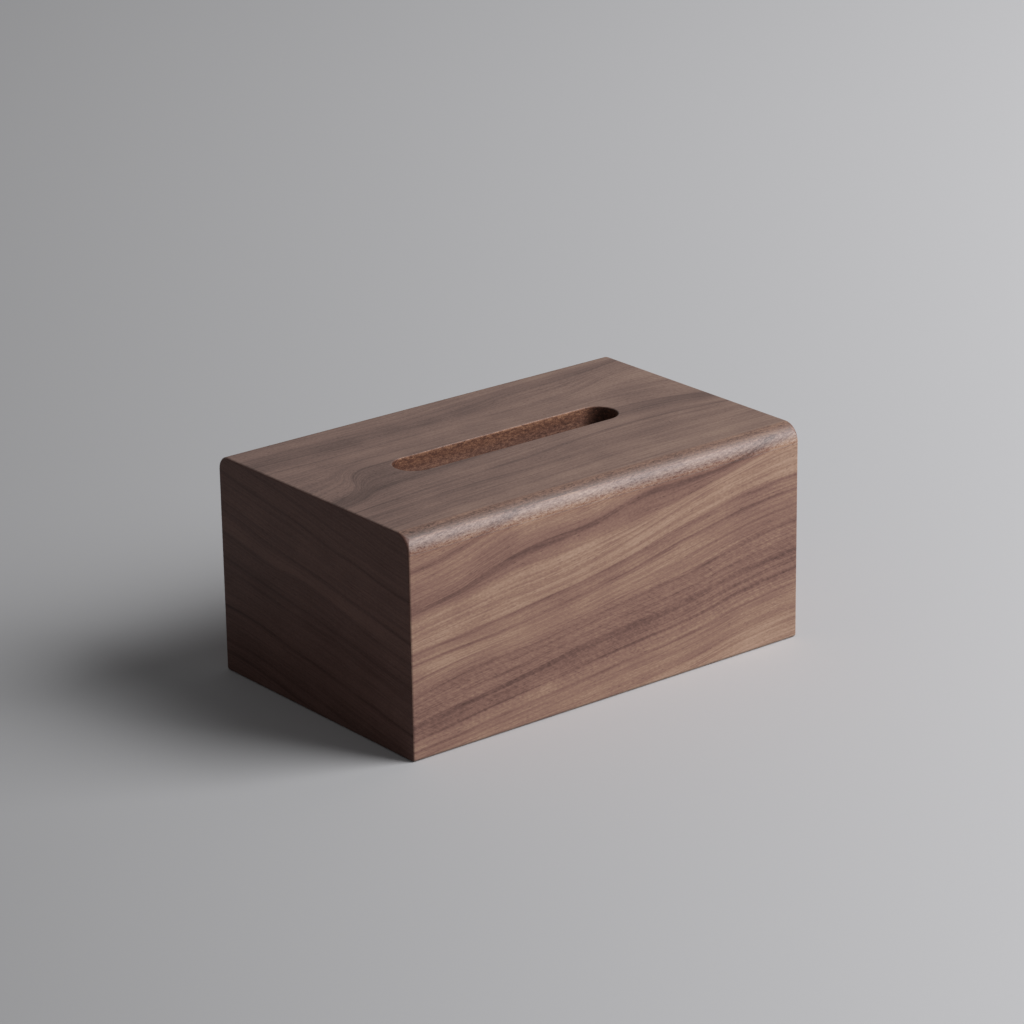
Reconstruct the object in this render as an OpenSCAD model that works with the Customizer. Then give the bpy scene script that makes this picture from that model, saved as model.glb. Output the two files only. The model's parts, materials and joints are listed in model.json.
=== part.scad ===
// Wooden tissue box: five mitred walnut boards with a stadium slot in the top, and a thin base that
// slides out to the right to let a pack of tissues in. The base carries a mitred strip that closes
// the right end of the box below its end board.
// Origin: middle of the underside. X runs along the length, the front is at -Y, +Z is up.
// Sizes are in millimetres.

/* [Box] */
// Length of the box, along X
box_l = 215; // [190:1:250]
// Width of the box, along Y
box_w = 135; // [120:1:160]
// Height of the box
box_h = 100; // [85:1:130]
// Thickness of the top, front, back and end boards
board_t = 10; // [9:0.5:12]

/* [Edges] */
// Radius of the long edge of the top at the front
front_edge_r = 8; // [3:0.5:9]
// Radius of the long edge of the top at the back
back_edge_r = 6.5; // [3:0.5:9]
// Radius of the eased edges around the two ends
arris_r = 1; // [0.5:0.1:1.4]
// Radius of the eased long edges at the bottom
foot_r = 1.5; // [1.5:0.1:2.5]

/* [Slot] */
// Length of the slot, end to end
slot_l = 120.5; // [90:0.5:150]
// Width of the slot
slot_w = 19; // [14:0.5:26]
// How far the middle of the slot lies behind the middle of the top
slot_back = 2.5; // [0:0.5:5]
// Radius of the eased rim of the slot, above and below
slot_rim_r = 0.7; // [0.3:0.1:1.5]

/* [Sliding base] */
// Thickness of the base
base_t = 5; // [4:0.5:6]
// Depth of the grooves that carry the base
groove_depth = 5; // [3:0.5:6]
// Height of the lip under the grooves
lip_h = 4; // [3:0.5:6]
// Gap between the base and its grooves, above and below
slide_gap = 0.25; // [0.15:0.05:0.5]
// Gap between the edges of the base and the bottoms of the grooves
edge_gap = 0.3; // [0.2:0.05:0.8]
// Radius of the two corners of the base that enter the grooves first
base_corner_r = 1.5; // [0.5:0.5:3]
// Gap left by each mitred end of the strip, along the strip
strip_end_gap = 0.3; // [0.2:0.05:0.6]
// Height of the strip above the table
strip_lift = 0.3; // [0.2:0.1:0.8]

/* [Finger recess] */
// Length of the finger recess under the base, across the box
recess_l = 36; // [28:1:50]
// Width of the finger recess
recess_w = 14; // [12:0.5:18]
// Depth of the finger recess
recess_depth = 2; // [1:0.25:2.5]
// Distance from the strip to the finger recess
recess_margin = 8; // [4:1:24]

/* [Hidden] */
$fn = 96;

// How far cutting shapes stand out of what they cut
spill = 2;

// Outer faces
right_x = box_l / 2;
back_y = box_w / 2;

// Groove, from the top of the lip up
groove_z = lip_h;
groove_h = base_t + 2 * slide_gap;
groove_top = groove_z + groove_h;
groove_half_w = back_y - board_t + groove_depth;
groove_left_x = -right_x + board_t - groove_depth;

// Base, whose right end lies in the rebate of the strip
base_z = groove_z + slide_gap;
base_left_x = groove_left_x + edge_gap;
base_right_x = right_x - board_t + groove_depth;
base_l = base_right_x - base_left_x;
base_w = 2 * (groove_half_w - edge_gap);

// Wood colours
top_colour = "#7a695f";
front_colour = "#8e7768";
end_colour = "#6c584d";
base_colour = "#84705f";

// A drawing in Y and Z, run along X
module along_x(length) {
    rotate([90, 0, 90])
        linear_extrude(length, center = true)
            children();
}

// A drawing in X and Z, run along Y
module along_y(length) {
    rotate([90, 0, 0])
        linear_extrude(length, center = true)
            children();
}

// What rounding takes off a square corner at the origin that fills the quarter below and left of it
module corner_waste(r) {
    translate([-r, -r])
        difference() {
            square(r + spill);
            circle(r);
        }
}

// The same waste swept round a corner of radius turn_r, about the Z axis, in the quarter of +X and +Y
module turned_waste(turn_r, r) {
    rotate_extrude(angle = 90)
        translate([turn_r, 0])
            corner_waste(r);
}

// Waste of a long edge at the top back, rounded to edge_r, and of the eased one at the bottom back
module long_edge_waste(edge_r) {
    along_x(box_l + 2 * spill) {
        translate([back_y, box_h])
            corner_waste(edge_r);
        translate([back_y, 0])
            mirror([0, 1])
                corner_waste(foot_r);
    }
}

// Waste of the eased rim around the right end, for the back half: straights along the top, down the
// back and along the bottom, joined by turns that follow the long edges
module end_rim_waste(edge_r) {
    top_l = back_y - edge_r;
    side_h = box_h - edge_r - foot_r;
    foot_l = back_y - foot_r;
    translate([right_x, top_l / 2, box_h])
        along_y(top_l)
            corner_waste(arris_r);
    translate([right_x, back_y, foot_r])
        linear_extrude(side_h)
            corner_waste(arris_r);
    translate([right_x, foot_l / 2, 0])
        mirror([0, 0, 1])
            along_y(foot_l)
                corner_waste(arris_r);
    translate([right_x, back_y - edge_r, box_h - edge_r])
        rotate([90, 0, 90])
            turned_waste(edge_r, arris_r);
    translate([right_x, back_y - foot_r, foot_r])
        mirror([0, 0, 1])
            rotate([90, 0, 90])
                turned_waste(foot_r, arris_r);
}

// All that rounding and easing takes off the outside of the glued box
module outside_waste() {
    for (side = [0, 1])
        mirror([0, side, 0]) {
            edge_r = side == 0 ? back_edge_r : front_edge_r;
            long_edge_waste(edge_r);
            for (end = [0, 1])
                mirror([end, 0, 0])
                    end_rim_waste(edge_r);
        }
}

// Section of a board across one of its mitres: the board lies along the left or lower side
module mitred_pair(length) {
    polygon([
        [-length / 2, 0],
        [length / 2, 0],
        [length / 2 - board_t, board_t],
        [-length / 2 + board_t, board_t]
    ]);
}

// Top board before rounding, mitred on all four sides
module top_blank() {
    intersection() {
        translate([0, 0, box_h])
            along_x(box_l)
                mirror([0, 1])
                    mitred_pair(box_w);
        translate([0, 0, box_h])
            along_y(box_w)
                mirror([0, 1])
                    mitred_pair(box_l);
    }
}

// Upright board before rounding, standing on the face y = 0 with its inside towards +Y:
// mitred to its neighbours at both ends and to the top board above
module upright_blank(length, foot_z) {
    intersection() {
        translate([0, 0, foot_z])
            linear_extrude(box_h - foot_z)
                mitred_pair(length);
        along_x(length)
            polygon([
                [0, foot_z],
                [0, box_h],
                [board_t, box_h - board_t],
                [board_t, foot_z]
            ]);
    }
}

// Groove around the inside of the box, open to the right
module groove() {
    translate([groove_left_x, -groove_half_w, groove_z])
        cube([box_l, 2 * groove_half_w, groove_h]);
}

// A round-ended outline, long across X unless turned
module stadium(length, width) {
    straight = length - width;
    square([straight, width], center = true);
    for (side = [-1, 1])
        translate([side * straight / 2, 0])
            circle(d = width);
}

// Waste of the eased rim around the mouth of the slot, at z = 0 with the board below it
module slot_rim_waste() {
    straight = slot_l - slot_w;
    for (side = [0, 1])
        mirror([0, side, 0])
            translate([0, slot_w / 2, 0])
                mirror([0, 1, 0])
                    along_x(straight)
                        corner_waste(slot_rim_r);
    for (end = [-90, 90])
        rotate([0, 0, end])
            translate([0, straight / 2, 0])
                rotate_extrude(angle = 180)
                    translate([slot_w / 2, 0])
                        mirror([1, 0])
                            corner_waste(slot_rim_r);
}

// The slot with its eased rims, through the top board
module slot_waste() {
    translate([0, slot_back, 0]) {
        translate([0, 0, box_h - board_t - spill])
            linear_extrude(board_t + 2 * spill)
                stadium(slot_l, slot_w);
        translate([0, 0, box_h])
            slot_rim_waste();
        translate([0, 0, box_h - board_t])
            mirror([0, 0, 1])
                slot_rim_waste();
    }
}

module top_panel() {
    color(top_colour)
        difference() {
            top_blank();
            outside_waste();
            slot_waste();
        }
}

module front_panel() {
    color(front_colour)
        difference() {
            translate([0, -back_y, 0])
                upright_blank(box_l, 0);
            outside_waste();
            groove();
        }
}

module back_panel() {
    color(front_colour)
        difference() {
            translate([0, back_y, 0])
                rotate([0, 0, 180])
                    upright_blank(box_l, 0);
            outside_waste();
            groove();
        }
}

module left_end_panel() {
    color(end_colour)
        difference() {
            translate([-right_x, 0, 0])
                rotate([0, 0, -90])
                    upright_blank(box_w, 0);
            outside_waste();
            groove();
        }
}

// Stops at the top of the grooves, so that the base passes under it
module right_end_panel() {
    color(end_colour)
        difference() {
            translate([right_x, 0, 0])
                rotate([0, 0, 90])
                    upright_blank(box_w, groove_top);
            outside_waste();
        }
}

module base_panel() {
    color(base_colour)
        difference() {
            translate([base_left_x, -base_w / 2, base_z])
                cube([base_l, base_w, base_t]);
            for (side = [0, 1])
                mirror([0, side, 0])
                    translate([base_left_x, base_w / 2, base_z - spill])
                        linear_extrude(base_t + 2 * spill)
                            mirror([1, 0])
                                corner_waste(base_corner_r);
            translate([right_x - board_t - recess_margin - recess_w / 2, 0, base_z - spill])
                rotate([0, 0, 90])
                    linear_extrude(spill + recess_depth)
                        stadium(recess_l, recess_w);
        }
}

// Glued to the base, which lies in a rebate along its inner side
module base_end_strip() {
    color(end_colour)
        difference() {
            translate([right_x, 0, strip_lift])
                rotate([0, 0, 90])
                    linear_extrude(base_z + base_t - strip_lift)
                        mitred_pair(box_w - 2 * strip_end_gap);
            translate([base_right_x - box_l, -back_y, base_z])
                cube([box_l, box_w, base_t + spill]);
            outside_waste();
        }
}

top_panel();
front_panel();
back_panel();
left_end_panel();
right_end_panel();
base_panel();
base_end_strip();
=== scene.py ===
"""Wooden tissue box in oiled walnut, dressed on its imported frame.

The box is built as its maker builds it: one block takes all the rounding, five mitred boards and
the strip on the base are sawn from it, then the grooves, the slot and the finger recess are routed.
Each board has its own figure in the wood. Lengths are in metres, and in millimetres where a name
ends in _mm.
"""

import json
import logging
import math
from collections.abc import Callable, Iterator, Sequence
from contextlib import contextmanager
from dataclasses import dataclass, field
from enum import Enum

import bpy
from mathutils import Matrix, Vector

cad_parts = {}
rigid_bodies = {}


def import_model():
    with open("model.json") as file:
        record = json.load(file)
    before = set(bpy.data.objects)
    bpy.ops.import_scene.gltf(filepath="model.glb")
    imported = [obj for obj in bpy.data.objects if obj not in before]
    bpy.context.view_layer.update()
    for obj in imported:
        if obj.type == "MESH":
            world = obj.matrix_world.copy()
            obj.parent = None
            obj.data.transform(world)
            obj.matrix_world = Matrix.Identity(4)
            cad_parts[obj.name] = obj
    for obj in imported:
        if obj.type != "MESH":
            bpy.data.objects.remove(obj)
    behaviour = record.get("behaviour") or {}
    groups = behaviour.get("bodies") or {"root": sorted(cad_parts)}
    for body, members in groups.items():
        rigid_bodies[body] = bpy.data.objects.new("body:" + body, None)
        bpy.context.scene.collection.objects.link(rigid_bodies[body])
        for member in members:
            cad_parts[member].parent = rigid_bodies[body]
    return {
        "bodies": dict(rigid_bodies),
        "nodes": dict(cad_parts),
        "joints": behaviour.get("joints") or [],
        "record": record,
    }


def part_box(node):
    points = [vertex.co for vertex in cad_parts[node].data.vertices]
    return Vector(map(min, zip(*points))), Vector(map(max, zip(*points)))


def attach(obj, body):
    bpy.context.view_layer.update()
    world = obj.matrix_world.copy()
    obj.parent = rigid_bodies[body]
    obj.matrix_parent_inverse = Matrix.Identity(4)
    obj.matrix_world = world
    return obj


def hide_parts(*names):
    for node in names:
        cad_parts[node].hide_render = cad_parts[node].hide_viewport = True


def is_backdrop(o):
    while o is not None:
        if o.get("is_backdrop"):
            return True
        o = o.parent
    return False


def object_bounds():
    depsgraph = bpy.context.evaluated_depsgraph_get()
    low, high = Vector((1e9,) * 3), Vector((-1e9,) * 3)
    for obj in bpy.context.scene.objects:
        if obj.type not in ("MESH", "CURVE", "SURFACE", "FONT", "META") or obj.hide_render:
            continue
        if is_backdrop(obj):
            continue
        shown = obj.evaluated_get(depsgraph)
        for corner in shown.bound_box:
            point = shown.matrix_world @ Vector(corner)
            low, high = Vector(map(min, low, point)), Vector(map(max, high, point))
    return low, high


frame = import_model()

LOG = logging.getLogger("tissue_box")
MM = 0.001

# Lengths that differ by less than SAME count as equal. NEAR allows for stored coordinates.
SAME = 1e-7
NEAR = 1e-6
MERGE_DISTANCE = 0.002 * MM
SMOOTH_BELOW = math.radians(32)
RING_POINTS = 96
QUARTER_STEPS = 6

UP = Vector((0.0, 0.0, 1.0))


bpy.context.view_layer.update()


class Side(Enum):
    """A side of the box, with the outward normal of its face."""

    TOP = (0.0, 0.0, 1.0)
    FRONT = (0.0, -1.0, 0.0)
    BACK = (0.0, 1.0, 0.0)
    LEFT = (-1.0, 0.0, 0.0)
    RIGHT = (1.0, 0.0, 0.0)

    @property
    def normal(self) -> Vector:
        """Return the outward normal."""
        return Vector(self.value)


@dataclass(frozen=True)
class BoxSizes:
    """Sizes of the box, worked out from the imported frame.

    The radii and the two gaps that no node's box shows are given here.
    """

    front_edge_r: float = 8.0 * MM
    back_edge_r: float = 6.5 * MM
    arris_r: float = 1.0 * MM
    foot_r: float = 1.5 * MM
    inner_arris: float = 0.35 * MM
    edge_gap: float = 0.3 * MM
    strip_end_gap: float = 0.3 * MM
    base_corner_r: float = 1.5 * MM
    slot_length: float = 120.5 * MM
    slot_width: float = 19.0 * MM
    slot_back: float = 2.5 * MM
    slot_rim_r: float = 0.7 * MM
    recess_length: float = 36.0 * MM
    recess_width: float = 14.0 * MM
    recess_depth: float = 2.0 * MM
    recess_margin: float = 8.0 * MM
    spill: float = 2.0 * MM
    length: float = field(default_factory=lambda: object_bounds()[1][0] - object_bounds()[0][0])
    width: float = field(default_factory=lambda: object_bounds()[1][1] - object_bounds()[0][1])
    height: float = field(default_factory=lambda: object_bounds()[1][2])
    board: float = field(default_factory=lambda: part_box("top_panel")[1][2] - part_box("top_panel")[0][2])
    base_low: Vector = field(default_factory=lambda: Vector(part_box("base_panel")[0]))
    base_high: Vector = field(default_factory=lambda: Vector(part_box("base_panel")[1]))
    groove_top: float = field(default_factory=lambda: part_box("right_end_panel")[0][2])
    strip_low: float = field(default_factory=lambda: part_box("base_end_strip")[0][2])

    def face_point(self, side: Side) -> Vector:
        """Return the middle of a side's outer face.

        Args:
            side: The side of the box.

        Returns:
            A point on the outer face.
        """
        half = Vector((self.length / 2, self.width / 2, self.height / 2))
        middle = Vector((0.0, 0.0, self.height / 2))
        return middle + Vector([n * h for n, h in zip(side.normal, half)])


@dataclass(frozen=True)
class SawCut:
    """A flat cut: what lies on the side that the normal points to is kept."""

    point: Vector
    normal: Vector

    @classmethod
    def level(cls, height: float, keep: Vector) -> "SawCut":
        """Return a level cut at a height, with the direction of what is kept."""
        return cls(UP * height, keep)


def both(wanted: Callable[[Vector], bool], a: Vector, b: Vector) -> bool:
    """Say whether both ends of an edge pass a test."""
    return wanted(a) and wanted(b)


def is_level(a: Vector, b: Vector) -> bool:
    """Say whether an edge's two ends lie at one height."""
    return abs(a.z - b.z) < SAME


def select_only(obj: bpy.types.Object) -> None:
    """Deselect everything, then select one object and make it active."""
    bpy.ops.object.select_all(action="DESELECT")
    obj.select_set(True)
    bpy.context.view_layer.objects.active = obj


@contextmanager
def edit_mode(obj: bpy.types.Object) -> Iterator[None]:
    """Hold an object in edit mode.

    Args:
        obj: The mesh object to edit.
    """
    select_only(obj)
    bpy.ops.object.mode_set(mode="EDIT")
    try:
        yield
    finally:
        bpy.ops.object.mode_set(mode="OBJECT")


def pick_edges(obj: bpy.types.Object, wanted: Callable[[Vector, Vector], bool]) -> int:
    """Select the edges whose two ends pass a test, and leave the object in object mode.

    Args:
        obj: The mesh object.
        wanted: Takes both end points of an edge.

    Returns:
        How many edges are selected.
    """
    bpy.context.tool_settings.mesh_select_mode = (False, True, False)
    with edit_mode(obj):
        bpy.ops.mesh.select_all(action="DESELECT")
    mesh = obj.data
    for edge in mesh.edges:
        first, second = (mesh.vertices[index].co for index in edge.vertices)
        edge.select = wanted(first, second)
    return sum(edge.select for edge in mesh.edges)


def pick_vertices(obj: bpy.types.Object, wanted: Callable[[Vector], bool]) -> None:
    """Select the vertices that pass a test, and leave the object in object mode.

    Args:
        obj: The mesh object.
        wanted: Takes the place of a vertex.
    """
    bpy.context.tool_settings.mesh_select_mode = (True, False, False)
    with edit_mode(obj):
        bpy.ops.mesh.select_all(action="DESELECT")
    for vertex in obj.data.vertices:
        vertex.select = wanted(vertex.co)


def round_picked(obj: bpy.types.Object, radius: float, segments: int) -> None:
    """Round the selected edges of an object.

    Args:
        obj: The mesh object with edges selected.
        radius: Radius of the rounding.
        segments: How many strips make up the rounding.
    """
    with edit_mode(obj):
        bpy.ops.mesh.bevel(
            offset=radius,
            offset_type="OFFSET",
            segments=segments,
            profile=0.5,
            affect="EDGES",
            clamp_overlap=False,
        )


def add_block(name: str, low: Sequence[float], high: Sequence[float]) -> bpy.types.Object:
    """Add a squared block between two corners.

    Args:
        name: Name of the object.
        low: Lowest corner.
        high: Highest corner.

    Returns:
        The block, with its place in its mesh.
    """
    size = [b - a for a, b in zip(low, high)]
    centre = [(a + b) / 2 for a, b in zip(low, high)]
    bpy.ops.object.select_all(action="DESELECT")
    bpy.ops.mesh.primitive_cube_add(size=1.0, location=centre, scale=size)
    block = bpy.context.object
    block.name = name
    bpy.ops.object.transform_apply(location=True, rotation=True, scale=True)
    return block


def copy_of(obj: bpy.types.Object, name: str) -> bpy.types.Object:
    """Copy an object with a mesh of its own.

    Args:
        obj: The object to copy.
        name: Name of the copy.

    Returns:
        The copy.
    """
    select_only(obj)
    bpy.ops.object.duplicate(linked=False)
    twin = bpy.context.object
    twin.name = name
    return twin


def saw(obj: bpy.types.Object, cuts: Sequence[SawCut]) -> None:
    """Cut an object along planes and close each cut.

    Args:
        obj: The mesh object.
        cuts: The planes, each with the side to keep.
    """
    with edit_mode(obj):
        for cut in cuts:
            bpy.ops.mesh.select_all(action="SELECT")
            bpy.ops.mesh.bisect(
                plane_co=cut.point,
                plane_no=cut.normal,
                use_fill=True,
                clear_inner=True,
                threshold=SAME,
            )


def rout(obj: bpy.types.Object, cutter: bpy.types.Object) -> None:
    """Take a cutter's shape out of an object and remove the cutter.

    Args:
        obj: The mesh object.
        cutter: A closed shape.
    """
    select_only(obj)
    tool = obj.modifiers.new("Router", "BOOLEAN")
    tool.operation = "DIFFERENCE"
    tool.solver = "EXACT"
    tool.object = cutter
    bpy.ops.object.modifier_apply(modifier=tool.name)
    bpy.data.objects.remove(cutter, do_unlink=True)


def finish_mesh(obj: bpy.types.Object) -> None:
    """Merge doubles, turn the faces outwards and smooth the rounded edges only.

    Args:
        obj: The mesh object.
    """
    with edit_mode(obj):
        bpy.ops.mesh.select_all(action="SELECT")
        bpy.ops.mesh.remove_doubles(threshold=MERGE_DISTANCE)
        bpy.ops.mesh.normals_make_consistent(inside=False)
    select_only(obj)
    bpy.ops.object.shade_smooth_by_angle(angle=SMOOTH_BELOW)
    evened = obj.modifiers.new("Even normals", "WEIGHTED_NORMAL")
    evened.keep_sharp = True
    bpy.ops.object.modifier_apply(modifier=evened.name)


def round_ended_ring(width: float, length: float, centre: Vector, along_y: bool) -> bpy.types.Object:
    """Add a flat ring of edges with two straight sides and two round ends.

    Args:
        width: Width across the straight sides.
        length: Length over the round ends.
        centre: Middle of the ring.
        along_y: Whether the ring is long along Y and not along X.

    Returns:
        The ring.
    """
    half_step = math.pi / RING_POINTS
    bpy.ops.object.select_all(action="DESELECT")
    bpy.ops.mesh.primitive_circle_add(vertices=RING_POINTS, radius=width / 2, rotation=(0, 0, half_step))
    ring = bpy.context.object
    bpy.ops.object.transform_apply(location=True, rotation=True, scale=True)
    axis = 1 if along_y else 0
    for sign in (-1.0, 1.0):
        pick_vertices(ring, lambda co: co[axis] * sign > 0)
        shift = [0.0, 0.0, 0.0]
        shift[axis] = sign * (length - width) / 2
        with edit_mode(ring):
            bpy.ops.transform.translate(value=shift)
    ring.location = centre
    select_only(ring)
    bpy.ops.object.transform_apply(location=True, rotation=True, scale=True)
    return ring


@dataclass(frozen=True)
class RoundEndedCutter:
    """A router's round-ended path whose wall flares at chosen heights."""

    name: str
    length: float
    width: float
    centre: Vector
    along_y: bool = False

    def ring(self, height: float, flare: float) -> bpy.types.Object:
        """Return the path's ring at a height, standing outside the path by the flare."""
        centre = Vector((self.centre.x, self.centre.y, height))
        return round_ended_ring(self.width + 2 * flare, self.length + 2 * flare, centre, self.along_y)

    def build(self, profile: Sequence[tuple[float, float]]) -> bpy.types.Object:
        """Build the cutter as rings bridged one above the other.

        Args:
            profile: From the lowest ring up, each ring's height and how far it stands outside the path.

        Returns:
            A closed shape.
        """
        rings = [self.ring(height, flare) for height, flare in profile]
        bpy.ops.object.select_all(action="DESELECT")
        for ring in rings:
            ring.select_set(True)
        bpy.context.view_layer.objects.active = rings[0]
        bpy.ops.object.join()
        cutter = rings[0]
        cutter.name = self.name
        bpy.context.tool_settings.mesh_select_mode = (False, True, False)
        with edit_mode(cutter):
            bpy.ops.mesh.select_all(action="SELECT")
            bpy.ops.mesh.bridge_edge_loops()
        for height, _ in (profile[0], profile[-1]):
            pick_edges(cutter, lambda a, b: both(lambda end: abs(end.z - height) < SAME, a, b))
            with edit_mode(cutter):
                bpy.ops.mesh.edge_face_add()
        with edit_mode(cutter):
            bpy.ops.mesh.select_all(action="SELECT")
            bpy.ops.mesh.normals_make_consistent(inside=False)
        return cutter


def quarter_turn() -> list[float]:
    """Return the angles of the steps round a quarter circle."""
    return [math.pi / 2 * step / QUARTER_STEPS for step in range(QUARTER_STEPS + 1)]


def fillet_profile(start: float, end: float, radius: float, opening_up: bool) -> list[tuple[float, float]]:
    """Return the rings of a wall that turns out into a flat face.

    Args:
        start: Height of the ring where the wall begins to turn, or the lower end.
        end: Height of the ring that lies in the flat face, or the upper end.
        radius: Radius of the turn.
        opening_up: Whether the flat face is above the wall.

    Returns:
        Heights and flares, from the lowest ring up.
    """
    rise = end - start
    if opening_up:
        return [(start + rise * math.sin(a), radius * (1 - math.cos(a))) for a in quarter_turn()]
    return [(end - rise * math.sin(a), radius * (1 - math.cos(a))) for a in reversed(quarter_turn())]


@dataclass
class Carcass:
    """The five glued boards of the box."""

    sizes: BoxSizes
    edge_segments: int = 16
    arris_segments: int = 6
    foot_segments: int = 6
    inner_segments: int = 2
    pieces: dict[str, bpy.types.Object] = field(default_factory=dict)

    NODES = {
        Side.TOP: "top_panel",
        Side.FRONT: "front_panel",
        Side.BACK: "back_panel",
        Side.LEFT: "left_end_panel",
        Side.RIGHT: "right_end_panel",
    }

    def rounded_block(self) -> bpy.types.Object:
        """Return the whole outside of the box as one rounded block."""
        s = self.sizes
        low = (-s.length / 2, -s.width / 2, 0.0)
        high = (s.length / 2, s.width / 2, s.height)
        block = add_block("rounded_block", low, high)

        def runs_along_x(a: Vector, b: Vector) -> bool:
            return abs(a.y - b.y) < SAME and is_level(a, b)

        for sign, radius in ((-1.0, s.front_edge_r), (1.0, s.back_edge_r)):
            pick_edges(block, lambda a, b: runs_along_x(a, b) and a.z > s.height / 2 and a.y * sign > 0)
            round_picked(block, radius, self.edge_segments)
        pick_edges(block, lambda a, b: runs_along_x(a, b) and a.z < SAME)
        round_picked(block, s.foot_r, self.foot_segments)
        end = s.length / 2 - NEAR
        pick_edges(block, lambda a, b: both(lambda p: abs(p.x) > end, a, b) and a.x * b.x > 0)
        round_picked(block, s.arris_r, self.arris_segments)
        return block

    def mitre(self, side: Side, other: Side) -> SawCut:
        """Return the cut along the mitre between two boards, keeping the first."""
        corner = self.sizes.face_point(side) + self.sizes.face_point(other)
        corner.z -= self.sizes.height / 2
        return SawCut(corner, side.normal - other.normal)

    def board_cuts(self, side: Side) -> list[SawCut]:
        """Return the cuts that leave one board of the block.

        Args:
            side: The side that the board closes.

        Returns:
            The inner face and the mitres, and on the right the foot of the short board.
        """
        s = self.sizes
        cuts = [SawCut(s.face_point(side) - side.normal * s.board, side.normal)]
        for other in Side:
            if other is not side and other.normal.dot(side.normal) == 0:
                cuts.append(self.mitre(side, other))
        if side is Side.RIGHT:
            cuts.append(SawCut.level(s.groove_top, UP))
        return cuts

    def groove_cutter(self) -> bpy.types.Object:
        """Return the space that the base slides in, open to the right."""
        s = self.sizes
        half_width = s.base_high.y + s.edge_gap
        gap = s.groove_top - s.base_high.z
        low = (s.base_low.x - s.edge_gap, -half_width, s.base_low.z - gap)
        high = (s.length, half_width, s.groove_top)
        return add_block("groove_cutter", low, high)

    def slot_cutter(self) -> bpy.types.Object:
        """Return the router's path through the top board, flared at both faces."""
        s = self.sizes
        under = s.height - s.board
        profile = [(under - s.spill, s.slot_rim_r)]
        profile += fillet_profile(under, under + s.slot_rim_r, s.slot_rim_r, opening_up=False)
        profile += fillet_profile(s.height - s.slot_rim_r, s.height, s.slot_rim_r, opening_up=True)
        profile.append((s.height + s.spill, s.slot_rim_r))
        path = RoundEndedCutter("slot_cutter", s.slot_length, s.slot_width, Vector((0.0, s.slot_back, 0.0)))
        return path.build(profile)

    def ease_inner_foot(self, board: bpy.types.Object, side: Side) -> None:
        """Take the sharpness off the lower inner edges of an upright board.

        Args:
            board: The board, sawn and grooved.
            side: Where it stands.
        """
        s = self.sizes
        inner = s.face_point(side) - side.normal * s.board
        foot = s.groove_top + s.edge_gap

        def on_inner_face(end: Vector) -> bool:
            return end.z < foot and abs((end - inner).dot(side.normal)) < NEAR

        if pick_edges(board, lambda a, b: is_level(a, b) and both(on_inner_face, a, b)):
            round_picked(board, s.inner_arris, self.inner_segments)

    def build(self) -> None:
        """Model the five boards."""
        block = self.rounded_block()
        for side, node in self.NODES.items():
            board = copy_of(block, node + "_walnut")
            saw(board, self.board_cuts(side))
            if side in (Side.FRONT, Side.BACK, Side.LEFT):
                rout(board, self.groove_cutter())
            if side is Side.TOP:
                rout(board, self.slot_cutter())
            else:
                self.ease_inner_foot(board, side)
            finish_mesh(board)
            self.pieces[node] = board
        bpy.data.objects.remove(block, do_unlink=True)


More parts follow.
